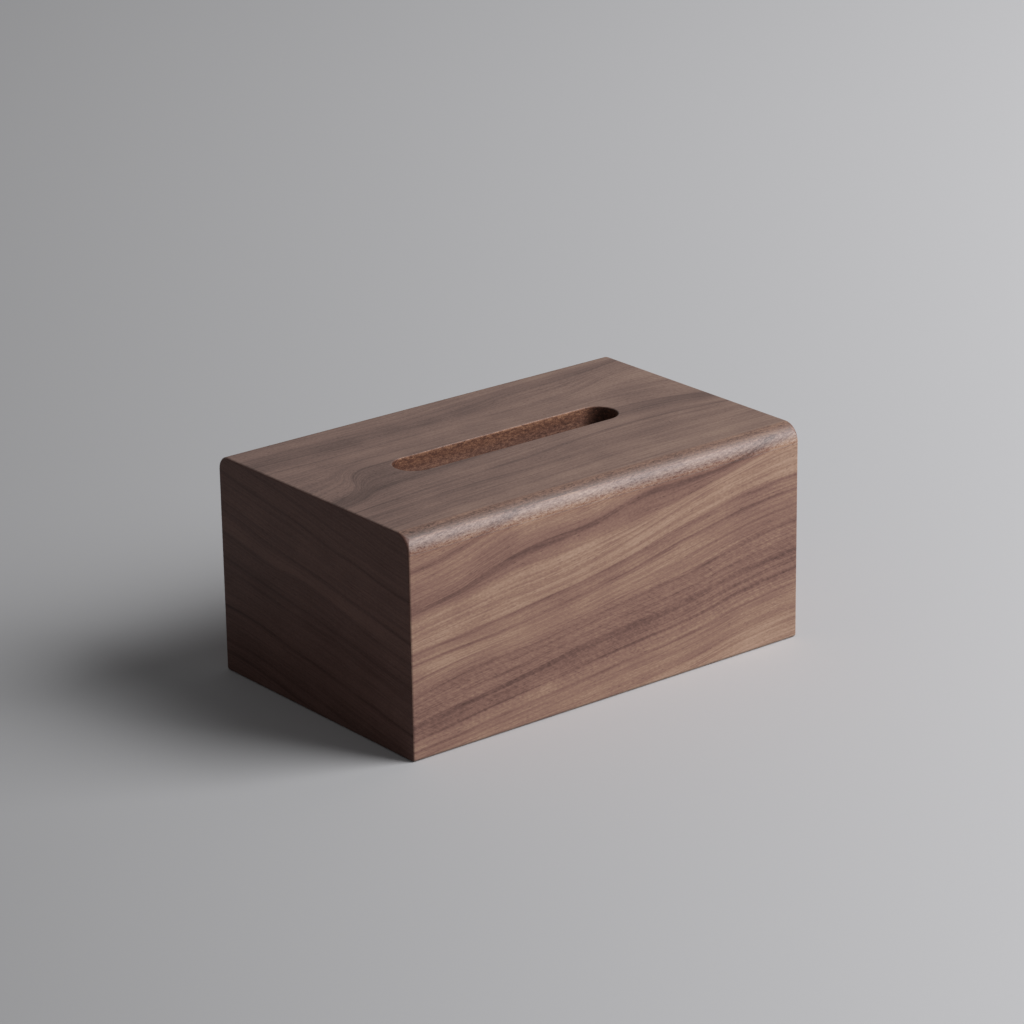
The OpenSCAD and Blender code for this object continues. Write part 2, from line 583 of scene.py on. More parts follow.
@dataclass
class SlidingBase:
    """The base that slides out to the right, with the strip that completes the right end."""

    sizes: BoxSizes
    carcass: Carcass
    arris: float = 0.4 * MM
    arris_segments: int = 3
    corner_segments: int = 6
    strip_arris: float = 0.25 * MM
    strip_arris_segments: int = 2
    recess_cove: float = 1.2 * MM
    pieces: dict[str, bpy.types.Object] = field(default_factory=dict)

    def recess_cutter(self) -> bpy.types.Object:
        """Return the router's path of the finger recess under the base."""
        s = self.sizes
        x = s.length / 2 - s.board - s.recess_margin - s.recess_width / 2
        bottom = s.base_low.z
        roof = bottom + s.recess_depth
        cove = self.recess_cove
        profile = [(bottom - s.spill, s.slot_rim_r)]
        profile += fillet_profile(bottom, bottom + s.slot_rim_r, s.slot_rim_r, opening_up=False)
        profile += [(roof - cove * (1 - math.sin(a)), -cove * (1 - math.cos(a))) for a in quarter_turn()]
        centre = Vector((x, 0.0, 0.0))
        path = RoundEndedCutter("recess_cutter", s.recess_length, s.recess_width, centre, along_y=True)
        return path.build(profile)

    def build_base(self) -> bpy.types.Object:
        """Return the thin board with its rounded leading corners and its finger recess."""
        s = self.sizes
        base = add_block("base_panel_walnut", s.base_low, s.base_high)
        left = s.base_low.x + NEAR
        right = s.base_high.x - NEAR
        pick_edges(base, lambda a, b: both(lambda end: end.x < left, a, b) and abs(a.z - b.z) > s.spill)
        round_picked(base, s.base_corner_r, self.corner_segments)
        rout(base, self.recess_cutter())

        def on_rim(end: Vector) -> bool:
            on_face = min(abs(end.z - s.base_low.z), abs(end.z - s.base_high.z)) < SAME
            at_side = abs(abs(end.y) - s.base_high.y) < s.base_corner_r
            return on_face and (at_side or end.x < s.base_low.x + s.base_corner_r)

        def outer_rim(a: Vector, b: Vector) -> bool:
            return is_level(a, b) and both(on_rim, a, b) and not both(lambda end: end.x > right, a, b)

        pick_edges(base, outer_rim)
        round_picked(base, self.arris, self.arris_segments)
        finish_mesh(base)
        return base

    def build_strip(self) -> bpy.types.Object:
        """Return the mitred strip with the rebate that the base is glued into."""
        s = self.sizes
        block = self.carcass.rounded_block()
        right = Side.RIGHT
        cuts = [
            SawCut(s.face_point(right) - right.normal * s.board, right.normal),
            SawCut.level(s.strip_low, UP),
            SawCut.level(s.base_high.z, -UP),
        ]
        for other in (Side.FRONT, Side.BACK):
            cut = self.carcass.mitre(right, other)
            cuts.append(SawCut(cut.point - other.normal * s.strip_end_gap, cut.normal))
        saw(block, cuts)
        low = (s.base_high.x - s.length, -s.width, s.base_low.z)
        high = (s.base_high.x, s.width, s.base_high.z + s.spill)
        rout(block, add_block("rebate_cutter", low, high))
        outer = s.length / 2 - s.arris_r
        top = s.base_high.z - NEAR
        pick_edges(block, lambda a, b: both(lambda end: end.z > top and end.x > outer, a, b))
        round_picked(block, self.strip_arris, self.strip_arris_segments)
        block.name = "base_end_strip_walnut"
        finish_mesh(block)
        return block

    def build(self) -> None:
        """Model the base and its strip."""
        self.pieces["base_panel"] = self.build_base()
        self.pieces["base_end_strip"] = self.build_strip()


Socket = bpy.types.NodeSocket
Colour = tuple[float, float, float, float]
Triple = tuple[float, float, float]
FALLING = (1.0, 0.0)


def srgb(red: int, green: int, blue: int) -> Colour:
    """Turn a screen colour, 0 to 255, into a scene colour."""

    def linear(value: int) -> float:
        part = value / 255
        return part / 12.92 if part <= 0.04045 else ((part + 0.055) / 1.055) ** 2.4

    return linear(red), linear(green), linear(blue), 1.0


class Graph:
    """A node tree with short calls for the nodes that the wood needs."""

    def __init__(self, tree: bpy.types.NodeTree) -> None:
        """Take over a tree and empty it."""
        self.tree = tree
        tree.nodes.clear()

    def node(self, kind: str, **settings: object) -> bpy.types.Node:
        """Add a node.

        Args:
            kind: Blender's name of the node type.
            settings: Properties of the node.

        Returns:
            The node.
        """
        made = self.tree.nodes.new(kind)
        for key, value in settings.items():
            setattr(made, key, value)
        return made

    def feed(self, socket: Socket, value: object) -> None:
        """Link a socket to another, or set its value."""
        if isinstance(value, bpy.types.NodeSocket):
            self.tree.links.new(value, socket)
        elif value is not None:
            socket.default_value = value

    def math(self, operation: str, a: object, b: object = None, c: object = None) -> Socket:
        """Add a Math node and return its value."""
        made = self.node("ShaderNodeMath", operation=operation)
        for index, value in enumerate((a, b, c)):
            self.feed(made.inputs[index], value)
        return made.outputs[0]

    def share_of(self, value: object, start: object, span: object) -> Socket:
        """Return how far a value lies past a start, in spans."""
        return self.math("DIVIDE", self.math("SUBTRACT", value, start), span)

    def total(self, values: Sequence[Socket]) -> Socket:
        """Return the sum of some values."""
        result = values[0]
        for value in values[1:]:
            result = self.math("ADD", result, value)
        return result

    def dot(self, vector: object, axis: Sequence[float]) -> Socket:
        """Return how far a vector reaches along an axis."""
        made = self.node("ShaderNodeVectorMath", operation="DOT_PRODUCT")
        self.feed(made.inputs[0], vector)
        self.feed(made.inputs[1], tuple(axis))
        return made.outputs["Value"]

    def stretched(self, parts: Sequence[Socket], scales: Sequence[float]) -> Socket:
        """Join three numbers to a vector and scale each of them.

        Args:
            parts: The three numbers.
            scales: What each is multiplied by.

        Returns:
            The vector.
        """
        joined = self.node("ShaderNodeCombineXYZ")
        for index, part in enumerate(parts):
            self.feed(joined.inputs[index], part)
        made = self.node("ShaderNodeVectorMath", operation="MULTIPLY")
        self.feed(made.inputs[0], joined.outputs[0])
        self.feed(made.inputs[1], tuple(scales))
        return made.outputs[0]

    def noise(self, vector: Socket, detail: float = 2.0, roughness: float = 0.5) -> Socket:
        """Add a Noise Texture of scale 1 and return its value, around 0 and mostly within 0.25."""
        made = self.node("ShaderNodeTexNoise", noise_dimensions="3D")
        self.feed(made.inputs["Vector"], vector)
        made.inputs["Scale"].default_value = 1.0
        made.inputs["Detail"].default_value = detail
        made.inputs["Roughness"].default_value = roughness
        return self.math("SUBTRACT", made.outputs[0], 0.5)

    def spread(
        self, value: Socket, low: float, high: float, to: tuple[float, float] = (0.0, 1.0), even: bool = False
    ) -> Socket:
        """Map a range of values to another and stay inside it.

        Args:
            value: The value.
            low: Where the range begins.
            high: Where it ends.
            to: What the two ends of the range become.
            even: Whether it goes in a straight line and not in a smooth step.

        Returns:
            The mapped value.
        """
        kind = "LINEAR" if even else "SMOOTHSTEP"
        made = self.node("ShaderNodeMapRange", interpolation_type=kind, clamp=True)
        for index, item in enumerate((value, low, high, *to)):
            self.feed(made.inputs[index], item)
        return made.outputs[0]

    def hump(self, value: Socket, middle: float, reach: float) -> Socket:
        """Return 1 where a value is at a middle, falling smoothly to 0 at a reach from it."""
        off = self.math("ABSOLUTE", self.math("SUBTRACT", value, middle))
        return self.spread(off, 0.0, reach, to=FALLING)

    def mix_colour(self, factor: object, a: object, b: object) -> Socket:
        """Mix two colours."""
        made = self.node("ShaderNodeMix", data_type="RGBA", clamp_factor=True)
        self.feed(made.inputs[0], factor)
        self.feed(made.inputs[6], a)
        self.feed(made.inputs[7], b)
        return made.outputs[2]

    def ramp(self, value: Socket, stops: Sequence[tuple[float, Colour]]) -> Socket:
        """Add a Color Ramp.

        Args:
            value: The factor, 0 to 1.
            stops: Places and colours, in order.

        Returns:
            The colour.
        """
        made = self.node("ShaderNodeValToRGB")
        band = made.color_ramp
        while len(band.elements) > 1:
            band.elements.remove(band.elements[-1])
        band.elements[0].position = stops[0][0]
        band.elements[0].color = stops[0][1]
        for place, colour in stops[1:]:
            band.elements.new(place).color = colour
        self.feed(made.inputs[0], value)
        return made.outputs[0]

    def curve(self, value: Socket, points: Sequence[tuple[float, float]]) -> Socket:
        """Add a Float Curve through points whose two numbers are 0 to 1."""
        made = self.node("ShaderNodeFloatCurve")
        line = made.mapping.curves[0]
        line.points[0].location = points[0]
        line.points[-1].location = points[-1]
        for point in points[1:-1]:
            line.points.new(*point)
        made.mapping.update()
        self.feed(made.inputs["Value"], value)
        return made.outputs[0]

    def place(self, group: bpy.types.NodeTree, **values: object) -> dict[str, Socket]:
        """Place a node group.

        Args:
            group: The group.
            values: What its inputs get, by their names in lower case.

        Returns:
            The outputs, by their names in lower case.
        """
        made = self.node("ShaderNodeGroup")
        made.node_tree = group
        for key, value in values.items():
            self.feed(made.inputs[key.capitalize()], value)
        return {socket.name.lower(): socket for socket in made.outputs}


@dataclass
class NodeGroup:
    """A shader node group while it is being built."""

    name: str
    inputs: dict[str, float]
    outputs: Sequence[str]
    colour_outputs: Sequence[str] = ()

    def __post_init__(self) -> None:
        """Make the group with its sockets."""
        tree = bpy.data.node_groups.new(self.name, "ShaderNodeTree")
        for label, value in self.inputs.items():
            socket = tree.interface.new_socket(label, in_out="INPUT", socket_type="NodeSocketFloat")
            socket.default_value = value
        for label in self.outputs:
            tree.interface.new_socket(label, in_out="OUTPUT", socket_type="NodeSocketFloat")
        for label in self.colour_outputs:
            tree.interface.new_socket(label, in_out="OUTPUT", socket_type="NodeSocketColor")
        self.graph = Graph(tree)
        self.entry = self.graph.node("NodeGroupInput")
        self.exit = self.graph.node("NodeGroupOutput")

    def take(self, label: str) -> Socket:
        """Return what comes in under a name."""
        return self.entry.outputs[label]

    def give(self, label: str, value: object) -> None:
        """Send a value out under a name."""
        self.graph.feed(self.exit.inputs[label], value)


@dataclass(frozen=True)
class WalnutColours:
    """Colours of oiled walnut by how dark it is, and of walnut cut across its fibres."""

    palest: float = -0.35
    darkest: float = 1.25
    planed: tuple[tuple[float, Colour], ...] = (
        (-0.35, srgb(206, 176, 157)),
        (-0.16, srgb(195, 164, 144)),
        (0.0, srgb(184, 152, 132)),
        (0.12, srgb(171, 138, 119)),
        (0.26, srgb(159, 125, 111)),
        (0.44, srgb(145, 111, 99)),
        (0.59, srgb(131, 98, 88)),
        (0.79, srgb(111, 81, 73)),
        (1.02, srgb(88, 60, 52)),
        (1.25, srgb(64, 40, 34)),
    )
    cut: tuple[tuple[float, Colour], ...] = (
        (-0.35, srgb(220, 178, 143)),
        (0.0, srgb(196, 150, 118)),
        (0.3, srgb(172, 124, 96)),
        (0.55, srgb(142, 98, 76)),
        (0.8, srgb(108, 68, 52)),
        (1.25, srgb(62, 36, 27)),
    )

    def build(self) -> bpy.types.NodeTree:
        """Return a node group that turns darkness into a colour of walnut."""
        inputs = {"Darkness": 0.5, "Cut": 0.0, "Hue": 0.5, "Saturation": 1.0}
        group = NodeGroup("walnut_colour", inputs, (), ("Color",))
        graph = group.graph
        span = self.darkest - self.palest
        share = graph.share_of(group.take("Darkness"), self.palest, span)
        planed, cut = (
            graph.ramp(share, [((place - self.palest) / span, colour) for place, colour in colours])
            for colours in (self.planed, self.cut)
        )
        tinted = graph.node("ShaderNodeHueSaturation")
        graph.feed(tinted.inputs["Color"], graph.mix_colour(group.take("Cut"), planed, cut))
        for label in ("Hue", "Saturation"):
            graph.feed(tinted.inputs[label], group.take(label))
        group.give("Color", tinted.outputs[0])
        return graph.tree


@dataclass(frozen=True)
class WalnutGrain:
    """What walnut shows between its growth rings: fibres, pores, flecks and a soft shimmer.

    Each scale is how often the effect repeats in a millimetre, along the fibres, across the rings
    and into the board. Each strength is how much darkness it adds.
    """

    line_scale: Triple = (0.005, 0.42, 0.12)
    line_sharpness: float = 15.0
    line_strength: float = 0.13
    fibre_scale: Triple = (0.06, 1.5, 1.5)
    fibre_strength: float = 0.34
    thread_scale: Triple = (0.65, 2.1, 2.1)
    thread_strength: float = 0.42
    thread_roughness: float = 0.3
    pore_scale: Triple = (0.12, 1.5, 1.5)
    pore_size: float = 0.16
    pore_core: float = 0.4
    pore_strength: float = 0.34
    pore_roughness: float = 0.2
    pore_depth: float = 0.8
    fleck_slant: float = 0.55
    fleck_scale: Triple = (0.28, 0.85, 0.5)
    fleck_strength: float = 0.5
    shimmer_scale: Triple = (0.045, 0.06, 0.06)
    shimmer_strength: float = 0.3
    roughness: float = 0.44
    relief: float = 0.03
    fibre_relief: float = 0.5
    shift: float = -0.07

    def build(self) -> bpy.types.NodeTree:
        """Return a node group that gives darkness, roughness and height of planed walnut."""
        inputs = {"Along": 0.0, "Ring": 0.0, "Depth": 0.0, "Fleck": 0.3}
        group = NodeGroup("walnut_grain", inputs, ("Darkness", "Roughness", "Height"))
        graph = group.graph
        place = [group.take(label) for label in ("Along", "Ring", "Depth")]
        along, ring, depth = place
        wave = graph.noise(graph.stretched(place, self.line_scale), detail=3.0, roughness=0.55)
        off_line = graph.math("MULTIPLY", graph.math("ABSOLUTE", wave), self.line_sharpness)
        line = graph.spread(off_line, 0.0, 1.0, to=FALLING)
        fibre = graph.noise(graph.stretched(place, self.fibre_scale), detail=3.0, roughness=0.6)
        thread = graph.noise(graph.stretched(place, self.thread_scale), detail=2.0)
        cells = graph.node("ShaderNodeTexVoronoi", feature="F1", distance="EUCLIDEAN")
        graph.feed(cells.inputs["Vector"], graph.stretched(place, self.pore_scale))
        cells.inputs["Scale"].default_value = 1.0
        core = self.pore_size * self.pore_core
        pore = graph.spread(cells.outputs["Distance"], core, self.pore_size, to=FALLING)
        slant = graph.math("MULTIPLY_ADD", along, -self.fleck_slant, ring)
        lengthways = graph.math("MULTIPLY_ADD", ring, self.fleck_slant, along)
        fleck = graph.noise(graph.stretched((lengthways, slant, depth), self.fleck_scale), detail=2.0)
        shimmer = graph.noise(graph.stretched(place, self.shimmer_scale), detail=2.0)
        effects = (
            (line, self.line_strength),
            (fibre, self.fibre_strength),
            (thread, self.thread_strength),
            (pore, self.pore_strength),
            (graph.math("MULTIPLY", fleck, self.fleck_strength), group.take("Fleck")),
            (shimmer, self.shimmer_strength),
        )
        parts = [graph.math("MULTIPLY", effect, strength) for effect, strength in effects]
        group.give("Darkness", graph.math("ADD", graph.total(parts), self.shift))
        rough = graph.math("MULTIPLY_ADD", thread, self.thread_roughness, self.roughness)
        group.give("Roughness", graph.math("MULTIPLY_ADD", pore, self.pore_roughness, rough))
        height = graph.math("MULTIPLY_ADD", fibre, self.fibre_relief, thread)
        height = graph.math("MULTIPLY_ADD", pore, -self.pore_depth, height)
        group.give("Height", graph.math("MULTIPLY", height, self.relief))
        return graph.tree


@dataclass(frozen=True)
class CutGrain:
    """The short, torn fibres that a router leaves where it cuts across the grain.

    Scales are how often the effect repeats in a millimetre, along the box, across it and upwards.
    """

    clump_scale: Triple = (0.45, 1.1, 1.1)
    clump_strength: float = 0.7
    clump_height: float = 0.8
    grit_scale: Triple = (1.1, 2.6, 2.6)
    grit_strength: float = 1.0

    def build(self) -> bpy.types.NodeTree:
        """Return a node group that gives the darkness that cut fibres add, and their height."""
        group = NodeGroup("cut_grain", {"Along": 0.0, "Across": 0.0, "Up": 0.0}, ("Darkness", "Height"))
        graph = group.graph
        place = [group.take(label) for label in ("Along", "Across", "Up")]
        clump = graph.noise(graph.stretched(place, self.clump_scale), detail=2.0)
        grit = graph.noise(graph.stretched(place, self.grit_scale), detail=3.0, roughness=0.65)
        clumps = graph.math("MULTIPLY", clump, self.clump_strength)
        group.give("Darkness", graph.math("MULTIPLY_ADD", grit, self.grit_strength, clumps))
        group.give("Height", graph.math("MULTIPLY_ADD", clump, self.clump_height, grit))
        return graph.tree


def build_ring_span() -> bpy.types.NodeTree:
    """Return a node group that counts rings between two lines drawn over a board."""
    group = NodeGroup("ring_span", {"Across": 0.0, "From": 0.0, "To": 1.0, "Step": 1.0}, ("Rings",))
    graph = group.graph
    gap = graph.math("SUBTRACT", group.take("To"), group.take("From"))
    share = graph.node("ShaderNodeClamp")
    graph.feed(share.inputs[0], graph.share_of(group.take("Across"), group.take("From"), gap))
    group.give("Rings", graph.math("MULTIPLY", share.outputs[0], group.take("Step")))
    return graph.tree


def build_ring_line() -> bpy.types.NodeTree:
    """Return a node group for one dark line of late wood: a sharp side, then a slow fade."""
    inputs = {"Ring": 0.0, "Place": 0.0, "Width": 1.0, "Strength": 0.2}
    group = NodeGroup("ring_line", inputs, ("Darkness",))
    graph = group.graph
    begins, darkest, ends = -0.9, 0.1, 1.6
    share = graph.share_of(group.take("Ring"), group.take("Place"), group.take("Width"))
    rise = graph.spread(share, begins, darkest)
    fall = graph.spread(share, darkest, ends, to=FALLING)
    line = graph.math("MULTIPLY", rise, fall)
    group.give("Darkness", graph.math("MULTIPLY", line, group.take("Strength")))
    return graph.tree


def build_patch() -> bpy.types.NodeTree:
    """Return a node group for a soft oval patch that is darker or paler than the board."""
    places = {"Along": 0.0, "Across": 0.0, "Middle": 0.0, "Row": 0.0}
    group = NodeGroup("soft_patch", places | {"Length": 1.0, "Height": 1.0, "Shift": 0.1}, ("Darkness",))
    graph = group.graph
    rim_squared = 0.36
    x = graph.share_of(group.take("Along"), group.take("Middle"), group.take("Length"))
    y = graph.share_of(group.take("Across"), group.take("Row"), group.take("Height"))
    squares = graph.math("MULTIPLY_ADD", x, x, graph.math("MULTIPLY", y, y))
    inside = graph.spread(squares, 0.0, rim_squared, to=FALLING)
    group.give("Darkness", graph.math("MULTIPLY", inside, group.take("Shift")))
    return graph.tree


def build_rounding() -> bpy.types.NodeTree:
    """Return a node group that says how far round a rounded edge a place lies.

    Out and Up are how far the place stands past the start of the rounding, in radii. Turn is 0 where
    the rounding starts above and 1 where it ends below, Mask is 1 on it, and Border is 1 on both rims.
    """
    group = NodeGroup("edge_rounding", {"Out": 0.0, "Up": 0.0}, ("Mask", "Border", "Turn"))
    graph = group.graph
    angle = graph.math("ARCTAN2", group.take("Out"), group.take("Up"))
    turn = graph.math("DIVIDE", angle, math.pi / 2)
    begins = graph.spread(turn, -0.03, 0.1)
    ends = graph.spread(turn, 1.0, 1.12, to=FALLING)
    upper = graph.hump(turn, middle=0.2, reach=0.25)
    lower = graph.hump(turn, middle=0.98, reach=0.28)
    group.give("Mask", graph.math("MULTIPLY", begins, ends))
    group.give("Border", graph.math("MAXIMUM", upper, lower))
    group.give("Turn", turn)
    return graph.tree


@dataclass
class WoodGroups:
    """The node groups that every walnut material shares."""

    colour: bpy.types.NodeTree = field(default_factory=lambda: WalnutColours().build())
    grain: bpy.types.NodeTree = field(default_factory=lambda: WalnutGrain().build())
    cut: bpy.types.NodeTree = field(default_factory=lambda: CutGrain().build())
    span: bpy.types.NodeTree = field(default_factory=build_ring_span)
    line: bpy.types.NodeTree = field(default_factory=build_ring_line)
    patch: bpy.types.NodeTree = field(default_factory=build_patch)
    rounding: bpy.types.NodeTree = field(default_factory=build_rounding)


@dataclass(frozen=True)
class RingPath:
    """A growth ring followed over a board's face, in millimetres along and across the face."""

    ring: float
    points: tuple[tuple[float, float], ...]


@dataclass(frozen=True)
class DarkLine:
    """A thin dark line of late wood at a ring."""

    ring: float
    width: float
    strength: float


@dataclass(frozen=True)
class Patch:
    """A soft oval on a board's face that is paler or darker than its rings."""

    along: float
    across: float
    length: float
    height: float
    shift: float


@dataclass(frozen=True)
class Figure:
    """The figure of one board, as its maker would choose it at the wood store.

    A ring's number is roughly its distance across the board in millimetres. Tones give how dark the
    wood is at a ring, from 0 for the palest to 1 for the darkest. Lean is how much darker the far
    end is, and dip is how far the rings move across for each millimetre into the board.
    """

    name: str
    paths: tuple[RingPath, ...]
    tones: tuple[tuple[float, float], ...]
    lines: tuple[DarkLine, ...]
    patches: tuple[Patch, ...] = ()
    fleck: float = 0.3
    fleck_rings: tuple[float, float] = (0.0, 0.0)
    fleck_gain: float = 0.65
    shift: float = 0.0
    lean: float = 0.0
    redness: float = 0.0
    hue: float = 0.5
    saturation: float = 1.0
    contrast: float = 1.1
    dip: float = 0.25
    wander: float = 2.4
    wander_scale: Triple = (0.016, 0.05, 0.05)
    fade_scale: Triple = (0.02, 0.25, 0.1)
    fade_strength: float = 2.4
    path_low: float = -60.0
    path_high: float = 200.0

    @property
    def length(self) -> float:
        """Return how far the drawn paths run along the board."""
        return self.paths[0].points[-1][0]

    def fleck_share(self, graph: Graph, ring: Socket) -> Socket | float:
        """Return how strong the flecks are, strongest between the two fleck rings."""
        low, high = self.fleck_rings
        if high <= low:
            return self.fleck
        middle = graph.math("ABSOLUTE", graph.math("SUBTRACT", ring, (low + high) / 2))
        span = high - low
        return graph.spread(middle, span * 0.4, span * 0.6 + 1.0, to=(self.fleck + self.fleck_gain, self.fleck))

    def ring_number(self, graph: Graph, groups: WoodGroups, along: Socket, across: Socket) -> Socket:
        """Return the number of the ring at a place of the face.

        Args:
            graph: The material's nodes.
            groups: The shared node groups.
            along: Millimetres along the board.
            across: Millimetres across the board.

        Returns:
            The ring number.
        """
        reach = self.path_high - self.path_low
        share = graph.math("DIVIDE", along, self.length)
        places = []
        for path in self.paths:
            points = [(u / self.length, (v - self.path_low) / reach) for u, v in path.points]
            drawn = graph.curve(share, points)
            places.append(graph.math("MULTIPLY_ADD", drawn, reach, self.path_low))
        before = graph.math("MINIMUM", graph.math("SUBTRACT", across, places[0]), 0.0)
        after = graph.math("MAXIMUM", graph.math("SUBTRACT", across, places[-1]), 0.0)
        parts = [graph.math("ADD", before, self.paths[0].ring), after]
        for index in range(len(self.paths) - 1):
            step = self.paths[index + 1].ring - self.paths[index].ring
            values = {"across": across, "from": places[index], "to": places[index + 1], "step": step}
            parts.append(graph.place(groups.span, **values)["rings"])
        return graph.total(parts)

    def darkness(self, graph: Graph, groups: WoodGroups, place: Sequence[Socket], ring: Socket) -> Socket:
        """Return how dark the figure is, without the fine grain.

        Args:
            graph: The material's nodes.
            groups: The shared node groups.
            place: Millimetres along, across and into the board.
            ring: The ring number.

        Returns:
            The darkness.
        """
        along, across, _ = place
        first, last = self.tones[0][0], self.tones[-1][0]
        share = graph.math("DIVIDE", graph.math("SUBTRACT", ring, first), last - first)
        stops = [((at - first) / (last - first), (tone, tone, tone, 1.0)) for at, tone in self.tones]
        fade = graph.noise(graph.stretched(place, self.fade_scale), detail=1.0)
        strength = graph.math("MULTIPLY_ADD", fade, self.fade_strength, 1.0)
        parts = [graph.ramp(share, stops)]
        for line in self.lines:
            deep = graph.math("MULTIPLY", strength, line.strength)
            values = {"ring": ring, "place": line.ring, "width": line.width, "strength": deep}
            parts.append(graph.place(groups.line, **values)["darkness"])
        for patch in self.patches:
            values = {"middle": patch.along, "row": patch.across, "length": patch.length, "height": patch.height}
            soft = graph.place(groups.patch, along=along, across=across, shift=patch.shift, **values)
            parts.append(soft["darkness"])
        slope = graph.math("MULTIPLY_ADD", along, self.lean / self.length, self.shift - self.lean / 2)
        return graph.total([*parts, slope])


@dataclass(frozen=True)
class BoardFrame:
    """Where a board's millimetres are counted from, and which way they run on the box."""

    corner: Vector
    along: Vector
    across: Vector
    inward: Vector

    @classmethod
    def on_side(cls, side: Side, sizes: BoxSizes) -> "BoardFrame":
        """Return the frame of the board on one side, from its upper left corner seen from outside.

        Args:
            side: The side of the box.
            sizes: Sizes of the box.

        Returns:
            The frame. The top board is seen from the front, so its corner is the one at the back left.
        """
        down = Vector((0.0, -1.0, 0.0)) if side is Side.TOP else Vector((0.0, 0.0, -1.0))
        along = side.normal.cross(down)
        size = Vector((sizes.length, sizes.width, sizes.height))
        reach = sum(abs(a) * s for a, s in zip(along, size))
        drop = sum(abs(d) * s for d, s in zip(down, size))
        corner = sizes.face_point(side) - along * reach / 2 - down * drop / 2
        return cls(corner, along, down, -side.normal)

    def millimetres(self, graph: Graph, position: Socket) -> tuple[Socket, Socket, Socket]:
        """Return how far a place lies along, across and into the board."""
        off = graph.node("ShaderNodeVectorMath", operation="SUBTRACT")
        graph.feed(off.inputs[0], position)
        graph.feed(off.inputs[1], tuple(self.corner))
        axes = (self.along, self.across, self.inward)
        return tuple(graph.dot(off.outputs[0], axis / MM) for axis in axes)


def front_figure() -> Figure:
    """Return the front board's figure: rings that rise to the right below one dark wavy streak."""
    return Figure(
        name="walnut_front",
        paths=(
            RingPath(34, ((0, 34.2), (25, 30), (42, 25), (58, 20.8), (75, 18.8), (100, 16.2), (117, 12),
                          (130, 9.8), (150, 9.6), (172, 9), (215, -3))),
            RingPath(39, ((0, 37), (40, 31), (60, 27.5), (80, 25.8), (100, 24), (120, 21.5), (140, 19.5),
                          (160, 16), (180, 12), (215, 3))),
            RingPath(46, ((0, 45.8), (20, 42.7), (50, 39.5), (70, 38), (100, 33.7), (120, 29.5),
                          (150, 21.2), (175, 15.8), (215, 10))),
            RingPath(53, ((0, 52.5), (67, 45.8), (107, 40.2), (150, 31.6), (183, 25.5), (215, 23.5))),
            RingPath(57, ((0, 56.8), (67, 51.4), (107, 45.8), (150, 37.5), (183, 31.5), (215, 29))),
            RingPath(70, ((0, 70.8), (35, 64.5), (70, 62.5), (120, 56), (150, 52), (183, 46), (215, 42.5))),
            RingPath(84, ((0, 83.8), (50, 77.2), (100, 70.8), (150, 65), (183, 60), (215, 57))),
            RingPath(95, ((0, 96), (50, 91), (107, 86), (150, 81.7), (183, 76.2), (215, 73.6))),
        ),
        tones=(
            (-25, 0.42), (8, 0.40), (12, 0.36), (20, 0.37), (25, 0.43), (31, 0.49), (33.4, 0.58), (36, 0.62),
            (38.6, 0.50), (41, 0.21), (45, 0.21), (49, 0.19), (51.5, 0.24), (54, 0.43), (57, 0.42),
            (62.5, 0.29),
            (66, 0.33), (69.5, 0.41), (72.5, 0.50), (77, 0.50), (82.5, 0.55), (85, 0.60), (88, 0.55),
            (91.5, 0.44), (93.5, 0.36), (97, 0.38), (102, 0.34), (106, 0.36), (110, 0.22), (118, 0.16),
            (135, 0.25),
        ),
        lines=(
            DarkLine(15.5, 2.0, 0.24), DarkLine(34.3, 1.3, 0.24), DarkLine(41.6, 0.5, 0.08),
            DarkLine(43.4, 0.6, 0.10), DarkLine(46, 1.0, 0.14),
            DarkLine(49.8, 0.6, 0.06), DarkLine(52.8, 0.9, 0.26), DarkLine(57.2, 1.1, 0.24),
            DarkLine(64, 1.0, 0.17), DarkLine(68, 0.8, 0.07), DarkLine(71.3, 1.2, 0.20),
            DarkLine(74.2, 0.7, 0.08), DarkLine(78.6, 1.1, 0.14), DarkLine(84.2, 1.2, 0.27),
            DarkLine(87.4, 0.8, 0.16), DarkLine(90.3, 0.8, 0.22), DarkLine(95, 0.9, 0.28),
            DarkLine(98.5, 0.7, 0.07), DarkLine(107, 1.4, 0.13), DarkLine(112, 0.8, 0.06),
        ),
        patches=(
            Patch(85, 27, 75, 11, -0.07), Patch(200, 17, 50, 16, -0.03), Patch(196, 94, 60, 14, -0.03),
            # Patch(90, 9, 90, 12, -0.18) is a painted highlight: it pales the lower rounding and the face just
            # below it, where the rounding's highlight tails off.
            Patch(90, 9, 90, 12, -0.18), Patch(188, 38, 60, 16, 0.14), Patch(18, 55, 50, 14, -0.12),
            Patch(176, 4, 60, 8, -0.1),
        ),
        fleck=0.35,
        fleck_rings=(70, 93),
        shift=-0.13,
        lean=-0.07,
        redness=0.08,
        hue=0.4975,
        saturation=1.03,
        contrast=1.3,
    )


